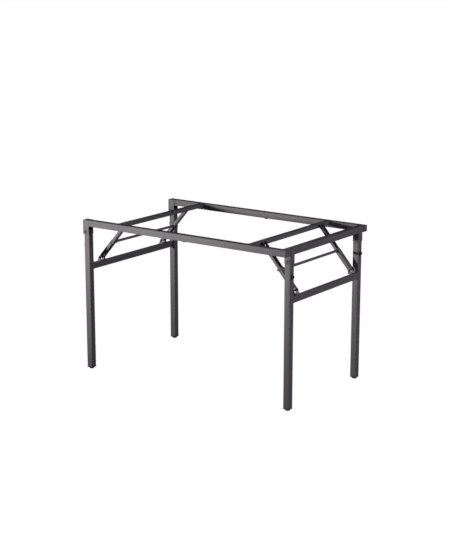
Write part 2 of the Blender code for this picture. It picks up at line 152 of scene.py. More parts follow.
def give_wall(thickness=WALL):
    apply("SOLIDIFY", thickness=thickness, offset=-1, use_even_offset=True)


def soften(width=EDGE, segments=2, angle=40):
    apply("BEVEL", width=width, segments=segments, limit_method="ANGLE",
          angle_limit=math.radians(angle))


def make_room(piece, low, high):
    """Takes the space of a block out of a piece."""
    room = block("room", low, high)
    rest()
    piece.select_set(True)
    bpy.context.view_layer.objects.active = piece
    apply("BOOLEAN", object=room, operation="DIFFERENCE", solver="EXACT")
    discard(room)


def outward_normals():
    pick("FACE", lambda face: True)
    bpy.ops.mesh.normals_make_consistent(inside=False)
    bpy.ops.object.mode_set(mode="OBJECT")


def build_up(name, steps, sides=32):
    """A round (or six-sided) body raised along +Z by extrusions: (radius, height) at each step."""
    rest()
    radius, height = steps[0]
    bpy.ops.mesh.primitive_circle_add(vertices=sides, radius=radius, fill_type="NGON",
                                      location=(0, 0, height))
    piece = name_it(name)
    bpy.ops.object.mode_set(mode="EDIT")
    bpy.ops.mesh.select_mode(type="FACE")
    bpy.ops.mesh.select_all(action="SELECT")
    for next_radius, next_height in steps[1:]:
        bpy.ops.mesh.extrude_region_move(
            TRANSFORM_OT_translate={"value": (0, 0, next_height - height)})
        ratio = next_radius / radius
        if abs(ratio - 1) > 1e-6:
            bpy.ops.transform.resize(value=(ratio, ratio, 1), center_override=(0, 0, next_height))
        radius, height = next_radius, next_height
    outward_normals()
    return piece


def join(name, *parts):
    """Makes one piece of several."""
    rest()
    for part in parts:
        part.select_set(True)
    bpy.context.view_layer.objects.active = parts[0]
    if len(parts) > 1:
        bpy.ops.object.join()
    piece = bpy.context.object
    piece.name = piece.data.name = name
    return piece


def facing(place, direction, spin=0):
    """Where a body built up along +Z goes, to stand on a place and point in a direction."""
    turn = Vector(direction).to_track_quat("Z", "Y").to_matrix().to_4x4()
    return Matrix.Translation(place) @ turn @ Matrix.Rotation(math.radians(spin), 4, "Z")


def moved(piece, matrix):
    """Moves a piece by moving its mesh."""
    piece.data.transform(matrix)
    return piece


def copy_of(pattern, name, matrix):
    """A copy with its own mesh, put in its place."""
    piece = bpy.data.objects.new(name, pattern.data.copy())
    piece.data.name = name
    bpy.context.collection.objects.link(piece)
    return moved(piece, matrix)


def discard(*patterns):
    for pattern in patterns:
        bpy.data.objects.remove(pattern, do_unlink=True)


def hand_over(piece, finish, stands_for, replaced=True, smooth=32):
    """Gives a piece its finish, and the body of the CAD node that it stands for or sits on."""
    rest()
    piece.select_set(True)
    bpy.context.view_layer.objects.active = piece
    bpy.ops.object.shade_smooth_by_angle(angle=math.radians(smooth))
    piece.data.materials.clear()
    piece.data.materials.append(FINISHES[finish])
    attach(piece, BODY[stands_for])
    if replaced:
        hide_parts(stands_for)
    piece.select_set(False)


def outer_x(end, box):
    """The side of a box that looks away from the middle of the table."""
    return box[1].x if ENDS[end] > 0 else box[0].x


def inner_x(end, box):
    return box[0].x if ENDS[end] > 0 else box[1].x


def middle_of_box(box):
    return (box[0] + box[1]) / 2


# Finishes

def new_group(name, inputs, outputs):
    group = bpy.data.node_groups.new(name, "ShaderNodeTree")
    for label, kind, value in inputs:
        socket = group.interface.new_socket(label, in_out="INPUT", socket_type="NodeSocket" + kind)
        socket.default_value = value
    for label, kind in outputs:
        group.interface.new_socket(label, in_out="OUTPUT", socket_type="NodeSocket" + kind)
    return group, group.nodes.new("NodeGroupInput"), group.nodes.new("NodeGroupOutput")


def add(tree, kind, links=None, **settings):
    """A node with its settings, and links or values for its inputs."""
    node = tree.nodes.new("ShaderNode" + kind)
    for key, value in settings.items():
        setattr(node, key, value)
    for label, source in (links or {}).items():
        if isinstance(source, bpy.types.NodeSocket):
            tree.links.new(source, node.inputs[label])
        else:
            node.inputs[label].default_value = source
    return node


def math_node(tree, operation, first, second, clamp=False):
    return add(tree, "Math", {0: first, 1: second}, operation=operation, use_clamp=clamp).outputs[0]


def noise(tree, where, scale, detail=3, roughness=0.55):
    return add(tree, "TexNoise", {"Vector": where, "Scale": scale, "Detail": detail,
                                  "Roughness": roughness}).outputs["Fac"]


def spread(tree, value, low, high, out_low=0.0, out_high=1.0):
    return add(tree, "MapRange", {"Value": value, "From Min": low, "From Max": high,
                                  "To Min": out_low, "To Max": out_high}).outputs["Result"]


def blend_colours(tree, factor, first, second):
    node = add(tree, "Mix", data_type="RGBA")
    for socket, source in ((0, factor), (6, first), (7, second)):
        if isinstance(source, bpy.types.NodeSocket):
            tree.links.new(source, node.inputs[socket])
        else:
            node.inputs[socket].default_value = source
    return node.outputs[2]


def edge_wear_group():
    """A mask of rubbed edges: where a rounded normal leaves the flat one, broken up by noise."""
    group, given, result = new_group(
        "edge_wear",
        [("Radius", "Float", 0.0008), ("Amount", "Float", 0.5), ("Patchiness", "Float", 60.0)],
        [("Mask", "Float")])
    where = add(group, "TexCoord").outputs["Object"]
    rounded = add(group, "Bevel", {"Radius": given.outputs["Radius"]}, samples=4)
    flat = add(group, "NewGeometry").outputs["Normal"]
    facing_same = add(group, "VectorMath", {0: rounded.outputs["Normal"], 1: flat},
                      operation="DOT_PRODUCT").outputs["Value"]
    edge = spread(group, facing_same, 0.995, 0.90)
    patches = spread(group, noise(group, where, given.outputs["Patchiness"], 4), 0.42, 0.66)
    mask = math_node(group, "MULTIPLY", math_node(group, "MULTIPLY", edge, patches),
                     given.outputs["Amount"], clamp=True)
    group.links.new(mask, result.inputs["Mask"])
    return group


def dust_group():
    """A thin film of dust on faces that look up, thicker in patches."""
    group, given, result = new_group("settled_dust", [("Amount", "Float", 0.15)],
                                     [("Mask", "Float")])
    where = add(group, "TexCoord").outputs["Object"]
    normal = add(group, "NewGeometry").outputs["Normal"]
    height = add(group, "SeparateXYZ", {"Vector": normal}).outputs["Z"]
    top = spread(group, height, 0.6, 0.98)
    cloud = spread(group, noise(group, where, 14.0, 6, 0.65), 0.38, 0.72)
    fine = spread(group, noise(group, where, 420.0, 2), 0.40, 0.70, 0.5, 1.0)
    film = math_node(group, "MULTIPLY", math_node(group, "MULTIPLY", top, cloud), fine)
    group.links.new(math_node(group, "MULTIPLY", film, given.outputs["Amount"], clamp=True),
                    result.inputs["Mask"])
    return group


def powder_coat_group():
    """Baked powder: orange peel, a finer grain under it, and slow drifts of tone and gloss."""
    group, given, result = new_group(
        "powder_coat",
        [("Colour", "Color", (0.1, 0.1, 0.1, 1)), ("Worn Colour", "Color", (0.2, 0.2, 0.2, 1)),
         ("Wear", "Float", 0.0), ("Dust", "Float", 0.0), ("Peel Scale", "Float", 620.0),
         ("Gloss Low", "Float", 0.56), ("Gloss High", "Float", 0.68)],
        [("Colour", "Color"), ("Roughness", "Float"), ("Height", "Float")])
    where = add(group, "TexCoord").outputs["Object"]
    peel = noise(group, where, given.outputs["Peel Scale"], 2, 0.4)
    grain = noise(group, where, 2600.0, 1)
    drift = noise(group, where, 9.0, 4, 0.6)
    fleck = spread(group, noise(group, where, 1500.0, 1), 0.66, 0.74)
    tone = spread(group, drift, 0.3, 0.7, 0.94, 1.06)
    toned = add(group, "VectorMath", {0: given.outputs["Colour"], 3: tone},
                operation="SCALE").outputs["Vector"]
    flecked = blend_colours(group, math_node(group, "MULTIPLY", fleck, 0.22), toned,
                            (0.32, 0.32, 0.33, 1))
    worn = blend_colours(group, given.outputs["Wear"], flecked, given.outputs["Worn Colour"])
    dusty = blend_colours(group, given.outputs["Dust"], worn, (0.42, 0.40, 0.37, 1))
    gloss = add(group, "MapRange", {"Value": drift, "From Min": 0.3, "From Max": 0.7,
                                    "To Min": given.outputs["Gloss Low"],
                                    "To Max": given.outputs["Gloss High"]}).outputs["Result"]
    polished = math_node(group, "SUBTRACT", gloss,
                         math_node(group, "MULTIPLY", given.outputs["Wear"], 0.12))
    dulled = math_node(group, "ADD", polished,
                       math_node(group, "MULTIPLY", given.outputs["Dust"], 0.6), clamp=True)
    height = math_node(group, "ADD", peel, math_node(group, "MULTIPLY", grain, 0.25))
    for label, source in (("Colour", dusty), ("Roughness", dulled), ("Height", height)):
        group.links.new(source, result.inputs[label])
    return group


def moulded_group():
    """Moulded plastic or rubber: a fine spark-eroded grain, with a faint bloom in patches."""
    group, given, result = new_group(
        "moulded_grain",
        [("Colour", "Color", (0.01, 0.01, 0.01, 1)), ("Bloom", "Float", 0.2),
         ("Grain Scale", "Float", 1700.0), ("Gloss Low", "Float", 0.45),
         ("Gloss High", "Float", 0.60)],
        [("Colour", "Color"), ("Roughness", "Float"), ("Height", "Float")])
    where = add(group, "TexCoord").outputs["Object"]
    grain = noise(group, where, given.outputs["Grain Scale"], 2)
    cells = add(group, "TexVoronoi", {"Vector": where, "Scale": given.outputs["Grain Scale"]},
                feature="SMOOTH_F1").outputs["Distance"]
    patches = spread(group, noise(group, where, 110.0, 4, 0.6), 0.40, 0.72)
    bloom = math_node(group, "MULTIPLY", patches, given.outputs["Bloom"], clamp=True)
    colour = blend_colours(group, bloom, given.outputs["Colour"], (0.07, 0.07, 0.068, 1))
    gloss = add(group, "MapRange", {"Value": patches, "From Min": 0.0, "From Max": 1.0,
                                    "To Min": given.outputs["Gloss Low"],
                                    "To Max": given.outputs["Gloss High"]}).outputs["Result"]
    height = math_node(group, "ADD", math_node(group, "MULTIPLY", grain, 0.6), cells)
    for label, source in (("Colour", colour), ("Roughness", gloss), ("Height", height)):
        group.links.new(source, result.inputs[label])
    return group


def zinc_group():
    """Black zinc: a faint violet mottling over a fine grain, rubbed bright at the edges."""
    group, given, result = new_group(
        "black_zinc", [("Colour", "Color", (0.03, 0.03, 0.03, 1)), ("Wear", "Float", 0.0)],
        [("Colour", "Color"), ("Roughness", "Float"), ("Height", "Float")])
    where = add(group, "TexCoord").outputs["Object"]
    mottle = noise(group, where, 380.0, 4, 0.6)
    fine = noise(group, where, 2400.0, 2)
    tinted = blend_colours(group, spread(group, mottle, 0.40, 0.68), given.outputs["Colour"],
                           (0.055, 0.050, 0.062, 1))
    bright = blend_colours(group, given.outputs["Wear"], tinted, (0.34, 0.34, 0.35, 1))
    rough = math_node(group, "ADD", spread(group, mottle, 0.3, 0.7, 0.26, 0.42),
                      spread(group, fine, 0.3, 0.7, -0.03, 0.03))
    for label, source in (("Colour", bright), ("Roughness", rough), ("Height", fine)):
        group.links.new(source, result.inputs[label])
    return group


def place_group(tree, group, **values):
    """A group node with links or values for its inputs; _ in a name stands for a space."""
    node = tree.nodes.new("ShaderNodeGroup")
    node.node_tree = group
    for label, value in values.items():
        socket = node.inputs[label.replace("_", " ")]
        if isinstance(value, bpy.types.NodeSocket):
            tree.links.new(value, socket)
        else:
            socket.default_value = value
    return node


def new_finish(name, surface, bump, constants, wear=None, dust=None, **values):
    """A material: a surface group with its values feeds the shader; constants sit on the shader."""
    material = bpy.data.materials.new(name)
    material.use_nodes = True
    tree = material.node_tree
    shader = tree.nodes["Principled BSDF"]
    if wear is not None:
        values["Wear"] = place_group(tree, EDGE_WEAR, **wear).outputs["Mask"]
    if dust is not None:
        values["Dust"] = place_group(tree, DUST, Amount=dust).outputs["Mask"]
    made = place_group(tree, surface, **values)
    relief = add(tree, "Bump", {"Height": made.outputs["Height"], "Strength": bump[0],
                                "Distance": bump[1]})
    tree.links.new(made.outputs["Colour"], shader.inputs["Base Color"])
    tree.links.new(made.outputs["Roughness"], shader.inputs["Roughness"])
    tree.links.new(relief.outputs["Normal"], shader.inputs["Normal"])
    for label, value in constants.items():
        shader.inputs[label].default_value = value
    material.diffuse_color = values["Colour"]
    return material


EDGE_WEAR, DUST = edge_wear_group(), dust_group()
POWDER, MOULDED, ZINC = powder_coat_group(), moulded_group(), zinc_group()
PEEL_BUMP, GRAIN_BUMP = (0.07, 0.00006), (0.35, 0.00004)
FINISHES = {
    "frame_paint": new_finish(
        "satin_powder_coat", POWDER, PEEL_BUMP, {"Specular IOR Level": 0.18},
        wear={"Radius": 0.0007, "Amount": 0.45}, dust=0.06,
        Colour=(0.118, 0.113, 0.119, 1), Worn_Colour=(0.20, 0.20, 0.205, 1)),
    "brace_paint": new_finish(
        "satin_powder_coat_pressed", POWDER, PEEL_BUMP, {"Specular IOR Level": 0.18},
        wear={"Radius": 0.0005, "Amount": 0.6, "Patchiness": 90.0}, dust=0.06,
        Colour=(0.125, 0.120, 0.126, 1), Worn_Colour=(0.24, 0.24, 0.245, 1),
        Peel_Scale=760.0, Gloss_Low=0.54, Gloss_High=0.64),
    "painted_rivet": new_finish(
        "painted_rivet_head", POWDER, PEEL_BUMP, {"Specular IOR Level": 0.3},
        wear={"Radius": 0.0007, "Amount": 0.5, "Patchiness": 160.0}, dust=0.05,
        Colour=(0.030, 0.029, 0.031, 1), Worn_Colour=(0.17, 0.17, 0.175, 1), Gloss_Low=0.38,
        Gloss_High=0.50),
    "dark_fastener": new_finish(
        "black_zinc_steel", ZINC, (0.2, 0.00002), {"Metallic": 0.9},
        wear={"Radius": 0.0004, "Amount": 0.5, "Patchiness": 300.0},
        Colour=(0.030, 0.030, 0.032, 1)),
    "black_plastic": new_finish(
        "moulded_black_plastic", MOULDED, GRAIN_BUMP, {"Specular IOR Level": 0.4},
        Colour=(0.012, 0.012, 0.013, 1), Bloom=0.25),
    "rubber": new_finish(
        "matt_black_rubber", MOULDED, GRAIN_BUMP, {"Specular IOR Level": 0.25},
        Colour=(0.010, 0.010, 0.010, 1), Bloom=0.35, Grain_Scale=1200.0, Gloss_Low=0.68,
        Gloss_High=0.85),
}


# Square and flat tube

def tube_skin(name, box, along):
    """The outer skin of a welded tube: rounded corners, and open at both ends."""
    piece = block(name, *box)
    pick("EDGE", lambda edge: runs_along(edge, along))
    bpy.ops.mesh.bevel(offset=TUBE_CORNER, segments=4, affect="EDGES")
    pick("FACE", lambda face: abs(face.normal[along]) > 0.9)
    bpy.ops.mesh.delete(type="FACE")
    return piece


def finish_tube(piece, node):
    """Gives a tube its wall, broken ends and paint."""
    give_wall()
    soften()
    hand_over(piece, "frame_paint", node)


def straight_tube(node, along):
    finish_tube(tube_skin(f"{node}_tube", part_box(node), along), node)


def leg_tube(end, side):
    """A leg, whose top is cut round on the outer side so that it turns in its bracket."""
    node = f"{end}_{side}_leg"
    piece = tube_skin(f"{node}_tube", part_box(node), 2)
    for tilt in (22.5, 45, 67.5):
        angle = math.radians(tilt)
        lean = Vector((ENDS[end] * math.sin(angle), 0, math.cos(angle)))
        pick("FACE", lambda face: True)
        bpy.ops.mesh.bisect(plane_co=HINGE[f"{end}_fold"] + lean * LEG_TOP_RADIUS, plane_no=lean,
                            clear_outer=True)
    finish_tube(piece, node)


def crossbar_sides(end):
    """X of a leg crossbar's inner and outer side; the outer one is flush with the legs."""
    outer = outer_x(end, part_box(f"{end}_front_leg"))
    return outer - ENDS[end] * BAR_DEPTH, outer


def leg_crossbar_tube(end):
    node = f"{end}_leg_crossbar"
    low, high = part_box(node)
    sides = crossbar_sides(end)
    box = (min(sides), low.y, low.z), (max(sides), high.y, BAR_TOP)
    finish_tube(tube_skin(f"{node}_tube", box, 1), node)


# Pressed channels

def channel(name, length, width, depth, bend, corner, cut=(0, 0), tip=(0, 0), lid=False, lug=None):
    """Sheet bent to a U: X from 0 to length, the web at Z 0 and the mouth at Z depth.

    corner: radius of the flanges' corners at the two ends. cut: how far the web stops short of
    each end, where the corners beside the web are rounded too. tip: how much narrower each end of
    the flanges is on either side. lid: the far end is closed. lug: start, stop and rise of a
    raised part of the flanges' edges.
    """
    piece = block(name, (0, -width / 2, 0), (length, width / 2, depth))
    pick("FACE", lambda face: face.normal.z > 0.9 or face.normal.x < -0.9
         or (face.normal.x > 0.9 and not lid))
    bpy.ops.mesh.delete(type="FACE")
    start, stop = cut[0], length - cut[1]
    for x in (start, stop):
        if 0 < x < length:
            pick("FACE", lambda face: True)
            bpy.ops.mesh.bisect(plane_co=(x, 0, 0), plane_no=(1, 0, 0))
    if pick("FACE", lambda face: face.normal.z < -0.9
            and not start < face.calc_center_median().x < stop):
        bpy.ops.mesh.delete(type="FACE")
    if lug:
        low, high, rise = lug
        for x in (low, low + rise * 0.45, high - rise * 0.45, high):
            pick("FACE", lambda face: True)
            bpy.ops.mesh.bisect(plane_co=(x, 0, 0), plane_no=(1, 0, 0))
        pick("VERT", lambda vertex: vertex.co.z > depth - 1e-5
             and low + 1e-4 < vertex.co.x < high - 1e-4)
        bpy.ops.transform.translate(value=(0, 0, rise))
    pick("EDGE", lambda edge: (runs_along(edge, 0) and middle_of(edge).z < 1e-5
                               and start < middle_of(edge).x < stop)
         or (lid and len(edge.link_faces) == 2 and middle_of(edge).x > length - 1e-5))
    bpy.ops.mesh.bevel(offset=bend, segments=4, affect="EDGES")
    for x, radius, web_cut, narrow in ((0, corner[0], cut[0], tip[0]),
                                       (length, corner[1], cut[1], tip[1])):
        at_end = [depth, 0] if web_cut else [depth]
        if narrow:
            for z, step in ((depth, -narrow), (0, narrow)):
                pick("VERT", lambda vertex: abs(vertex.co.x - x) < 1e-5
                     and abs(vertex.co.z - z) < 1e-5)
                bpy.ops.transform.translate(value=(0, 0, step))
            at_end = [depth - narrow, narrow] if web_cut else [depth - narrow]
        if radius:
            pick("VERT", lambda vertex: abs(vertex.co.x - x) < 1e-5
                 and any(abs(vertex.co.z - z) < 1e-5 for z in at_end))
            bpy.ops.mesh.bevel(offset=radius, segments=6, affect="VERTICES")
    give_wall()
    soften(0.0002)
    return piece


def brace_frame(end):
    """Upper pin, middle joint and lower pin of an end's braces, and their two directions."""
    top, bottom = HINGE[f"{end}_upper_link_turn"], HINGE[f"{end}_lower_link_turn"]
    low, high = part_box(f"{end}_cross_rod")
    joint = Vector(((low.x + high.x) / 2, 0, (low.z + high.z) / 2))
    down = (bottom - top).normalized()
    out = Vector((-down.z, 0, down.x)) * ENDS[end]
    return top, joint, bottom, down, out


def brace_y(end, side):
    """Y of the middle of a brace."""
    return middle_of_box(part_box(f"{end}_{side}_upper_link")).y


def ears_y(end, side):
    """Y of the middle of the lower link's box, which the joint's rivet head makes a little wider
    on one side than the link itself."""
    return middle_of_box(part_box(f"{end}_{side}_lower_link")).y


def axes(origin, along, up):
    """The place of a channel whose length runs along one direction and whose mouth faces another."""
    along, up = along.normalized(), up.normalized()
    across = up.cross(along)
    return Matrix.Translation(origin) @ Matrix((along, across, up)).transposed().to_4x4()


top, joint, bottom, _, _ = brace_frame("left")
upper_length, lower_length = (joint - top).length, (bottom - joint).length
upper_pattern = channel("upper_pattern", upper_length + SMALL_EYE + EYE, UPPER_WIDTH, LINK_DEPTH,
                        BEND, (0.0048, EYE_CORNER), cut=(SMALL_EYE + 0.012, EYE + 0.004),
                        tip=(0.002, 0.0005))
lower_pattern = channel("lower_pattern", PAST_JOINT + lower_length + EYE, LOWER_WIDTH,
                        LOWER_DEPTH, BEND, (0.0012, EYE_CORNER), cut=(0, EYE + 0.007),
                        tip=(0, 0.0005), lug=(0.0002, 0.0104, 0.0056))


# Small round and six-sided parts, each modelled once

rivet_pattern = build_up("rivet_pattern", [
    (0.0066, 0), (0.0066, 0.0005), (0.0064, 0.0011), (0.0057, 0.0017), (0.0047, 0.0020),
    (0.0040, 0.0017), (0.0037, 0.0004), (0.0008, 0.0002)])
soften(0.00012, 1)

washer_steps = [(0.0066, 0), (0.0066, 0.0009), (0.0030, 0.0009)]
washer = build_up("washer", washer_steps, 28)
head = build_up("head", [(0.0052, 0.0009), (0.0061, 0.0013), (0.0061, 0.0038), (0.0054, 0.0045),
                         (0.0033, 0.0045), (0.0029, 0.0041)], 6)
head_pattern = join("head_pattern", washer, head)
soften(0.00015, 2)
washer = build_up("washer", washer_steps, 28)
nut = build_up("nut", [(0.0055, 0.0009), (0.0061, 0.0013), (0.0061, 0.0034), (0.0057, 0.0039)], 6)
collar = build_up("collar", [(0.0050, 0.0034), (0.0050, 0.0047), (0.0043, 0.0053),
                             (0.0033, 0.0053)], 28)
thread = build_up("thread", [(0.0029, 0.0042)] + [
    (0.0029 - 0.0003 * (step % 2), 0.0044 + 0.0004 * step) for step in range(6)]
    + [(0.0021, 0.0068)], 20)
nut_pattern = join("nut_pattern", washer, nut, collar, thread)
soften(0.00012, 2)

pad_pattern = build_up("pad_pattern", [
    (0.0095, 0), (0.0098, 0.0003), (0.0098, 0.0026), (0.0091, 0.0032), (0.0073, 0.0034),
    (0.0070, 0.0040), (0.0070, 0.0068), (0.0065, 0.0079), (0.0054, 0.0085), (0.0028, 0.0085),
    (0.0024, 0.0080), (0.0023, 0.0062), (0.0008, 0.0060)])
soften(0.0002, 2)
rail_pad_pattern = build_up("rail_pad_pattern", [
    (0.0078, 0), (0.0080, 0.0003), (0.0080, 0.0022), (0.0077, 0.0036), (0.0068, 0.0046),
    (0.0050, 0.0049), (0.0024, 0.0049), (0.0020, 0.0044), (0.0019, 0.0032), (0.0008, 0.0030)])
soften(0.0002, 2)
sleeve_pattern = build_up("sleeve_pattern", [
    (0.0044, -0.0120), (0.0044, -0.0112), (0.0041, -0.0108), (0.0041, 0.0108), (0.0044, 0.0112),
    (0.0044, 0.0120)], 28)
soften(0.0002, 2)
collar_pattern = build_up("collar_pattern", [
    (0.0070, 0), (0.0076, 0.0003), (0.0076, 0.0024), (0.0072, 0.0030), (0.0064, 0.0032),
    (0.0062, 0.0028)])
soften(0.0002, 2)


def foot_pattern_at_origin():
    """Plug, square flange and round glide of a foot, with the tube's middle at X 0, Y 0."""
    low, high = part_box("left_front_foot")
    half = (high.x - low.x) / 2
    glide = build_up("glide", [
        (0.0102, 0), (0.0112, 0.0004), (0.0119, 0.0014), (0.0120, 0.0026), (0.0120, 0.0044),
        (0.0112, 0.0052), (0.0112, 0.0060), (0.0122, 0.0068), (0.0122, 0.0072)], 40)
    flange = block("flange", (-half, -half, 0.0070), (half, half, 0.0097))
    pick("EDGE", lambda edge: runs_along(edge, 2))
    bpy.ops.mesh.bevel(offset=0.0026, segments=5, affect="EDGES")
    pick("FACE", lambda face: face.normal.z > 0.9)
    bpy.ops.mesh.inset(thickness=0.0028)
    bpy.ops.mesh.extrude_region_move(TRANSFORM_OT_translate={"value": (0, 0, 0.018)})
    return join("foot_pattern", glide, flange)


foot_pattern = foot_pattern_at_origin()
soften(0.0003, 2)


# The frame body: caps, pads, hinge channels, clevises and their rivets

def rail_end_cap(side):
    """A plug with a dished face, in the open end of a long rail."""
    node = f"{side}_rail_cap"
    low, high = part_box(node)
    cap = block(f"{side}_rail_end_cap", (high.x - WALL, low.y, low.z), high)
    pick("EDGE", lambda edge: runs_along(edge, 0))
    bpy.ops.mesh.bevel(offset=TUBE_CORNER, segments=5, affect="EDGES")
    pick("FACE", lambda face: face.normal.x > 0.9)
    bpy.ops.mesh.inset(thickness=0.0030)
    bpy.ops.mesh.extrude_region_move(TRANSFORM_OT_translate={"value": (-0.0004, 0, 0)})
    pick("FACE", lambda face: face.normal.x < -0.9)
    bpy.ops.mesh.inset(thickness=0.0019)
    bpy.ops.mesh.extrude_region_move(TRANSFORM_OT_translate={"value": (-0.010, 0, 0)})
    soften(0.0003, 2)
    hand_over(cap, "frame_paint", node)


def rail_pad(side):
    node = f"{side}_rail_bumper"
    place = middle_of_box(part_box(node))
    place.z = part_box(node)[1].z
    hand_over(copy_of(rail_pad_pattern, f"{side}_rail_rubber_pad", facing(place, -UP)),
              "rubber", node)


def hinge_channel(end, side):
    """The bracket round a leg's top: lidded at the open end of the table, and at the other end
    only its web runs up, over the end rail's side."""
    node = f"{end}_{side}_bracket"
    low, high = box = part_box(node)
    bracket = channel(f"{end}_{side}_hinge_channel", high.z - low.z, high.y - low.y,
                      high.x - low.x, BEND, (0.0040, 0), lid=end == "left")
    if end == "right":
        make_room(bracket, (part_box("end_rail")[0].z - low.z - CLEAR, -1, WALL), (1, 1, 1))
    base = Vector((outer_x(end, box), middle_of_box(box).y, low.z))
    moved(bracket, axes(base, UP, Vector((-ENDS[end], 0, 0))))
    hand_over(bracket, "frame_paint", node)


def hinge_rivet(end, side):
    pivot = HINGE[f"{end}_fold"]
    low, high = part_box(f"{end}_{side}_bracket")
    heads = [copy_of(rivet_pattern, "head", facing((pivot.x, face_y, pivot.z), (0, turn, 0)))
             for face_y, turn in ((low.y, -1), (high.y, 1))]
    hand_over(join(f"{end}_{side}_hinge_rivet", *heads), "painted_rivet", f"{end}_{side}_rivet")


def crossbar_clevis(end, side):
    """The small channel on an inner crossbar that a brace's upper end is bolted in."""
    node = f"{end}_{side}_clevis"
    low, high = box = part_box(node)
    clevis = channel(f"{end}_{side}_crossbar_clevis", high.z - low.z, high.y - low.y,
                     high.x - low.x, 0.0016, (0.0052, 0.0052))
    base = Vector((inner_x(end, box), middle_of_box(box).y, low.z))
    moved(clevis, axes(base, UP, Vector((ENDS[end], 0, 0))))
    hand_over(clevis, "brace_paint", node)


def bolt(name, node, span, pin, spin):
    """Head on the front side, nut on the back side, and the shank between them.

    span: Y of the two faces that it clamps. spin: degrees that the head is turned; the nut has
    another angle, as fasteners do.
    """
    low, high = span
    parts = [
        copy_of(head_pattern, "head", facing((pin.x, low, pin.z), (0, -1, 0), spin)),
        copy_of(nut_pattern, "nut", facing((pin.x, high, pin.z), (0, 1, 0), 2.3 * spin + 11)),
        moved(build_up("shank", [(SHANK, low), (SHANK, (low + high) / 2), (SHANK, high)], 20),
              facing((pin.x, 0, pin.z), (0, 1, 0)))]
    hand_over(join(name, *parts), "dark_fastener", node)


def upper_bolt(end, side):
    low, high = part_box(f"{end}_{side}_clevis")
    bolt(f"{end}_{side}_upper_bolt", f"{end}_{side}_clevis_bolt", (low.y, high.y),
         HINGE[f"{end}_upper_link_turn"], 23 * (ENDS[end] + 3) + 7 * SIDES[side])


# The leg bodies

def crossbar_ears(end, side):
    """The channel on a leg crossbar that a brace's lower end is bolted in, its top drawn inwards."""
    pin, out = HINGE[f"{end}_lower_link_turn"], ENDS[end]
    outer = crossbar_sides(end)[1]
    foot_length, rise = abs(outer - pin.x) + EYE - WALL, pin.z + EYE - BAR_TOP
    ears = channel(f"{end}_{side}_crossbar_ears", foot_length, 2 * EARS_HALF, rise, 0.0018,
                   (EYE_CORNER, EYE_CORNER))
    pick("VERT", lambda vertex: vertex.co.z > rise - 0.0068 and vertex.co.x < foot_length / 2)
    bpy.ops.transform.translate(value=(foot_length - 2 * EYE, 0, 0))
    bpy.ops.object.mode_set(mode="OBJECT")
    base = Vector((outer - out * WALL, ears_y(end, side), BAR_TOP))
    moved(ears, axes(base, Vector((-out, 0, 0)), UP))
    hand_over(ears, "brace_paint", f"{end}_leg_crossbar", replaced=False)


def foot_glide(end, side):
    node = f"{end}_{side}_foot"
    place = middle_of_box(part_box(node))
    place.z = 0
    hand_over(copy_of(foot_pattern, f"{end}_{side}_foot_glide", Matrix.Translation(place)),
              "black_plastic", node)


def leg_pad(end, side):
    node = f"{end}_{side}_leg_bumper"
    place = middle_of_box(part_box(node))
    place.x = inner_x(end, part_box(node))
    hand_over(copy_of(pad_pattern, f"{end}_{side}_leg_rubber_pad",
                      facing(place, (ENDS[end], 0, 0))), "rubber", node)


def lower_bolt(end, side):
    centre_y = ears_y(end, side)
    bolt(f"{end}_{side}_lower_bolt", f"{end}_{side}_brace_bolt",
         (centre_y - EARS_HALF, centre_y + EARS_HALF), HINGE[f"{end}_lower_link_turn"],
         17 * (ENDS[end] + 2) + 9 * SIDES[side])


# The toggle braces

def brace_channels(end, side):
    """The upper channel's mouth looks outwards and the lower one's inwards, one over the other."""
    top, joint, _, down, outwards = brace_frame(end)
    shift = Vector((0, brace_y(end, side), 0))
    origin = top + shift - down * SMALL_EYE - outwards * LINK_DEPTH / 2
    hand_over(copy_of(upper_pattern, f"{end}_{side}_upper_brace", axes(origin, down, outwards)),
              "brace_paint", f"{end}_{side}_upper_link")
    origin = joint + shift - down * PAST_JOINT + outwards * (LOWER_DEPTH - LINK_DEPTH / 2)
    hand_over(copy_of(lower_pattern, f"{end}_{side}_lower_brace", axes(origin, down, -outwards)),
              "brace_paint", f"{end}_{side}_lower_link")


def brace_fittings(end, side):
    """The middle joint's rivet head, the lower bolt's sleeve and the tie rod's collar."""
    _, joint, bottom, _, _ = brace_frame(end)
    node, centre_y, across = f"{end}_{side}_lower_link", brace_y(end, side), SIDES[side]
    smaller = Matrix.Diagonal((0.74, 0.74, 1.1, 1))
    face = Vector((joint.x, centre_y + across * LOWER_WIDTH / 2, joint.z))
    hand_over(copy_of(rivet_pattern, f"{end}_{side}_middle_rivet",
                      facing(face, (0, across, 0)) @ smaller),
              "painted_rivet", node, replaced=False)
    hand_over(copy_of(sleeve_pattern, f"{end}_{side}_lower_sleeve",
                      facing((bottom.x, centre_y, bottom.z), (0, 1, 0))),
              "black_plastic", node, replaced=False)
    rod_end = centre_y - across * (LOWER_WIDTH / 2 + 0.0004)
    hand_over(copy_of(collar_pattern, f"{end}_{side}_rod_collar",
                      facing((joint.x, rod_end, joint.z), (0, -across, 0))),
              "rubber", f"{end}_cross_rod", replaced=False)


def tie_rod(end):
    node, joint = f"{end}_cross_rod", brace_frame(end)[1]
    low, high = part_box(node)
    rod = build_up(f"{end}_tie_rod", [
        (ROD - 0.0006, low.y), (ROD, low.y + 0.0006), (ROD, low.y / 3), (ROD, high.y / 3),
        (ROD, high.y - 0.0006), (ROD - 0.0006, high.y)], 32)
    moved(rod, facing((joint.x, 0, joint.z), (0, 1, 0)))
    hand_over(rod, "brace_paint", node)


# Weld beads in the corners where one piece meets another

GROUND = 0.002                  # top seams are ground flat, so the beads stop below them
BEADS = {}                      # one pattern for each length and radius


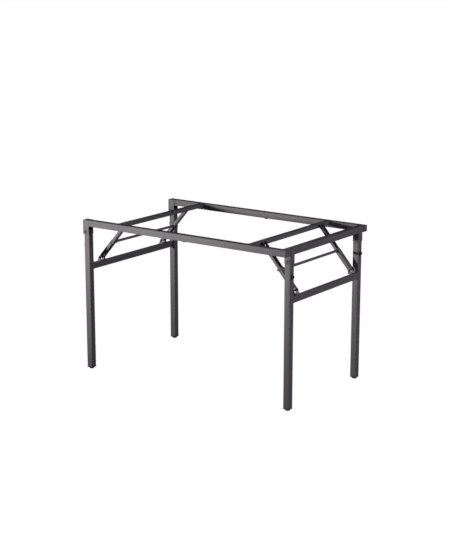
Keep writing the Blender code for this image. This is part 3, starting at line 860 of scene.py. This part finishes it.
def weld_bead(start, stop, radius=0.0020):
    """A run of overlapping ripples from one place to another."""
    start, stop = Vector(start), Vector(stop)
    length = round((stop - start).length, 4)
    if (length, radius) not in BEADS:
        ripples = max(3, round(length / (1.1 * radius)))
        pitch = length / ripples
        steps = [(0.4 * radius, 0)]
        for ripple in range(ripples):
            steps += [(0.84 * radius, pitch * (ripple + 0.12)), (radius, pitch * (ripple + 0.6))]
        BEADS[length, radius] = build_up("bead_pattern", steps + [(0.4 * radius, length)], 10)
    return copy_of(BEADS[length, radius], "bead", facing(start, stop - start))


def upright_bead(x, y, bottom, top, *radius):
    return weld_bead((x, y, bottom), (x, y, top), *radius)


def level_bead(x_start, x_stop, y, z, *radius):
    return weld_bead((x_start, y, z), (x_stop, y, z), *radius)


def bracket_beads(end, side, face, bottom):
    """Where a bracket meets the long rail, or its flanges meet the end rail's underside."""
    low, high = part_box(f"{end}_{side}_bracket")
    if end == "left":
        return [upright_bead(high.x, face, bottom, cad_high.z - GROUND)]
    return [level_bead(low.x + 0.002, high.x - 0.003, y, bottom, 0.0016) for y in (low.y, high.y)]


def frame_beads():
    rail_low, end_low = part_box("back_rail")[0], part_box("end_rail")[0]
    beads = [upright_bead(end_low.x, across * rail_low.y, end_low.z, cad_high.z - GROUND)
             for across in SIDES.values()]
    for end in ENDS:
        low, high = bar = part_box(f"{end}_inner_crossbar")
        for side, across in SIDES.items():
            face = across * rail_low.y
            beads += [upright_bead(x, face, low.z, high.z - GROUND) for x in (low.x, high.x)]
            beads.append(level_bead(low.x, high.x, face, low.z))
            clevis_low, clevis_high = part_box(f"{end}_{side}_clevis")
            beads += [upright_bead(outer_x(end, bar), y, clevis_low.z + 0.001,
                                   clevis_high.z - 0.001, 0.0011)
                      for y in (clevis_low.y, clevis_high.y)]
            beads += bracket_beads(end, side, face, rail_low.z)
    return beads


def leg_beads(end):
    """Round both ends of a leg crossbar, and along the feet of its ears."""
    inner, outer = crossbar_sides(end)
    low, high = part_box(f"{end}_leg_crossbar")
    out, beads = ENDS[end], []
    for side, across in SIDES.items():
        face, centre_y = across * high.y, ears_y(end, side)
        beads.append(upright_bead(inner, face, low.z, BAR_TOP, 0.0018))
        beads += [level_bead(inner, outer - out * 0.002, face, z, 0.0018) for z in (low.z, BAR_TOP)]
        beads += [level_bead(inner + out * 0.001, outer - out * 0.0025, centre_y + turn * EARS_HALF,
                             BAR_TOP, 0.0012) for turn in (-1, 1)]
    return beads


def add_welds(name, node, beads):
    hand_over(join(name, *beads), "frame_paint", node, replaced=False, smooth=50)


# Assembly

for side in SIDES:
    straight_tube(f"{side}_rail", 0)
straight_tube("end_rail", 1)
for end in ENDS:
    straight_tube(f"{end}_inner_crossbar", 1)
for side in SIDES:
    rail_end_cap(side)
    rail_pad(side)
for end in ENDS:
    leg_crossbar_tube(end)
    tie_rod(end)
    for side in SIDES:
        for make in (leg_tube, hinge_channel, hinge_rivet, crossbar_clevis, crossbar_ears, foot_glide,
                     leg_pad, lower_bolt, upper_bolt, brace_channels, brace_fittings):
            make(end, side)
add_welds("frame_welds", "front_rail", frame_beads())
for end in ENDS:
    add_welds(f"{end}_leg_welds", f"{end}_leg_crossbar", leg_beads(end))

discard(upper_pattern, lower_pattern, rivet_pattern, head_pattern, nut_pattern, pad_pattern,
        rail_pad_pattern, sleeve_pattern, collar_pattern, foot_pattern, *BEADS.values())


# Floor, light and camera

def plain_world():
    """White to the camera, and a dim even grey to everything else."""
    world = bpy.data.worlds.new("studio")
    bpy.context.scene.world = world
    world.use_nodes = True
    tree = world.node_tree
    tree.nodes.clear()
    seen = add(tree, "Background", {"Color": (1, 1, 1, 1), "Strength": 1.0})
    lit = add(tree, "Background", {"Color": (0.97, 0.94, 1.0, 1), "Strength": 0.045})
    path = add(tree, "LightPath")
    mix = add(tree, "MixShader", {0: path.outputs["Is Camera Ray"], 1: lit.outputs[0],
                                  2: seen.outputs[0]})
    result = add(tree, "OutputWorld")
    tree.links.new(mix.outputs[0], result.inputs["Surface"])


def plain_floor():
    rest()
    bpy.ops.mesh.primitive_plane_add(size=160, location=(0, 0, -0.0005))
    floor = name_it("studio_floor")
    material = bpy.data.materials.new("pale_floor")
    material.use_nodes = True
    tree = material.node_tree
    tree.nodes.clear()
    pale = add(tree, "BsdfDiffuse", {"Color": (0.55, 0.55, 0.55, 1)})
    white = add(tree, "Emission", {"Color": (1, 1, 1, 1), "Strength": 1.0})
    path = add(tree, "LightPath")
    mix = add(tree, "MixShader", {0: path.outputs["Is Camera Ray"], 1: pale.outputs[0],
                                  2: white.outputs[0]})
    result = add(tree, "OutputMaterial")
    tree.links.new(mix.outputs[0], result.inputs["Surface"])
    floor.data.materials.append(material)


def lamp(name, kind, place, target, energy, **settings):
    data = bpy.data.lights.new(name, kind)
    data.energy = energy
    for key, value in settings.items():
        setattr(data, key, value)
    thing = bpy.data.objects.new(name, data)
    thing.location = place
    thing.rotation_euler = (Vector(target) - Vector(place)).to_track_quat("-Z", "Y").to_euler()
    bpy.context.collection.objects.link(thing)


plain_world()
plain_floor()
# The key stands low and to the left, which leaves the tops dark; the fill reaches the right end
lamp("key", "SPOT", (-1.7, -3.617, 0.90), (-0.25, -0.3, 2.2), 1110, color=(1.0, 0.985, 0.975),
     spot_size=math.radians(86), spot_blend=1.0, shadow_soft_size=0.12)
lamp("fill", "AREA", (3.7, 0.4, 2.35), (0, 0, 0.6), 62, color=(1.0, 0.955, 1.03), shape="RECTANGLE",
     size=2.2, size_y=2.2)



def place_camera(lens, place, tilt_down, turn):
    """A camera with a lens in millimetres, and its two angles in degrees."""
    data = bpy.data.cameras.new("camera")
    data.lens = lens
    data.sensor_width = 36
    camera = bpy.data.objects.new("camera", data)
    camera.location = place
    camera.rotation_euler = (math.radians(90 - tilt_down), 0, math.radians(turn))
    bpy.context.collection.objects.link(camera)
    bpy.context.scene.camera = camera


place_camera(89.53, (3.74112, -5.13846, 2.02617), 13.889, 36.0)
bpy.context.scene.view_settings.view_transform = "Standard"
bpy.context.scene.view_settings.look = "None"

rest()
